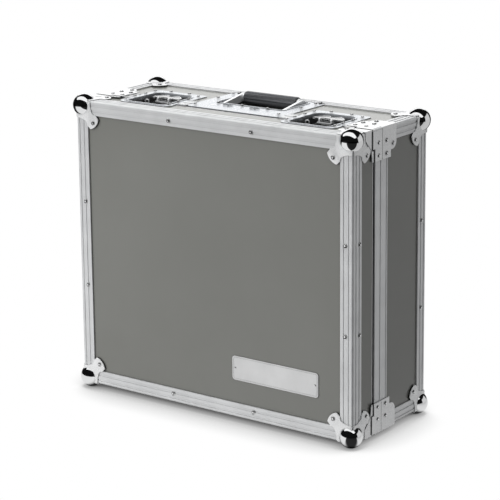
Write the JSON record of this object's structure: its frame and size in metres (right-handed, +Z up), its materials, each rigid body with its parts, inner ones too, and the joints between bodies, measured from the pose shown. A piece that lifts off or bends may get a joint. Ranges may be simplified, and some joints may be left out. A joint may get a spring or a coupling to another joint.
{
  "type": "guitar pedal case",
  "caption": "Upright flight case for a guitar pedalboard, with an aluminium edged lid hinged at the bottom, turn latches and a folding handle.",
  "frame": {"origin": "on the floor, below the middle of the closed case", "axes": "+X to the right seen from the lid's front, +Y from the lid to the base's back, +Z up, towards the handle"},
  "size_m": [0.5248, 0.2148, 0.4708],
  "materials": {
    "panel": "warm grey satin laminate on plywood",
    "extrusion": "ribbed, satin anodised",
    "corner_steel": "polished balls on satin zinc plated legs",
    "fitting_steel": "bright zinc plated",
    "pin_steel": "turned steel",
    "plate": "fine brushed, blank",
    "foam": "dark closed cell foam",
    "rubber": "matt black, lengthwise ribs"
  },
  "bodies": {
    "base": {"base_back_panel": "panel", "base_top_wall": "panel", "base_bottom_wall": "panel", "base_left_wall": "panel", "base_right_wall": "panel", "base_top_angle": "extrusion", "base_bottom_angle": "extrusion", "base_left_angle": "extrusion", "base_right_angle": "extrusion", "base_depth_angles": "extrusion", "base_groove_top": "extrusion", "base_groove_bottom": "extrusion", "base_groove_left": "extrusion", "base_groove_right": "extrusion", "base_seam_brackets": "corner_steel", "base_ball_corners": "corner_steel", "base_foam_back": "foam", "base_foam_walls": "foam", "base_foam_top": "foam", "latch_dish_left": "fitting_steel", "latch_dish_right": "fitting_steel", "latch_bridge_left": "fitting_steel", "latch_bridge_right": "fitting_steel", "base_hinge_leaves": "fitting_steel", "hinge_pins": "pin_steel", "handle_dish": "fitting_steel", "handle_pivot_pins": "pin_steel"},
    "lid": {"lid_front_panel": "panel", "lid_top_wall": "panel", "lid_bottom_wall": "panel", "lid_left_wall": "panel", "lid_right_wall": "panel", "lid_top_angle": "extrusion", "lid_bottom_angle": "extrusion", "lid_left_angle": "extrusion", "lid_right_angle": "extrusion", "lid_depth_angles": "extrusion", "lid_tongue_top": "extrusion", "lid_tongue_bottom": "extrusion", "lid_tongue_left": "extrusion", "lid_tongue_right": "extrusion", "lid_seam_brackets": "corner_steel", "lid_ball_corners": "corner_steel", "lid_foam": "foam", "nameplate": "plate", "keeper_dish_left": "fitting_steel", "keeper_dish_right": "fitting_steel", "lid_hinge_leaves": "fitting_steel"},
    "handle": {"handle_bail": "fitting_steel", "handle_grip": "rubber"},
    "spindle_left": {"latch_spindle_left": "fitting_steel"},
    "wing_left": {"latch_wing_left": "fitting_steel"},
    "hook_left": {"latch_hook_left": "fitting_steel"},
    "spindle_right": {"latch_spindle_right": "fitting_steel"},
    "wing_right": {"latch_wing_right": "fitting_steel"},
    "hook_right": {"latch_hook_right": "fitting_steel"}
  },
  "joints": [
    {"name": "lid_hinge", "type": "hinge", "parent": "base", "child": "lid", "pos_m": [0, -0.043, 0.0075], "axis": [1, 0, 0], "range_deg": [0, 105]},
    {"name": "handle_lift", "type": "hinge", "parent": "base", "child": "handle", "pos_m": [0, 0.012, 0.4538], "axis": [1, 0, 0], "range_deg": [0, 90], "stiffness_Nm_per_rad": 0.1},
    {"name": "latch_turn_left", "type": "hinge", "parent": "base", "child": "spindle_left", "pos_m": [-0.15007, -0.0125, 0.455], "axis": [0, 0, -1], "range_deg": [0, 180]},
    {"name": "wing_fold_left", "type": "hinge", "parent": "spindle_left", "child": "wing_left", "pos_m": [-0.15007, -0.0125, 0.4591], "axis": [1, 0, 0], "range_deg": [0, 90]},
    {"name": "hook_slide_left", "type": "slide", "parent": "base", "child": "hook_left", "axis": [0, 0.9397, -0.342], "range_m": [0, 0.009]},
    {"name": "latch_turn_right", "type": "hinge", "parent": "base", "child": "spindle_right", "pos_m": [0.15007, -0.0125, 0.455], "axis": [0, 0, -1], "range_deg": [0, 180]},
    {"name": "wing_fold_right", "type": "hinge", "parent": "spindle_right", "child": "wing_right", "pos_m": [0.15007, -0.0125, 0.4591], "axis": [1, 0, 0], "range_deg": [0, 90]},
    {"name": "hook_slide_right", "type": "slide", "parent": "base", "child": "hook_right", "axis": [0, 0.9397, -0.342], "range_m": [0, 0.009]}
  ],
  "couplings": [
    {"joint": "hook_slide_left", "follows": "latch_turn_left", "m_per_rad": 0.002864},
    {"joint": "hook_slide_right", "follows": "latch_turn_right", "m_per_rad": 0.002864}
  ]
}
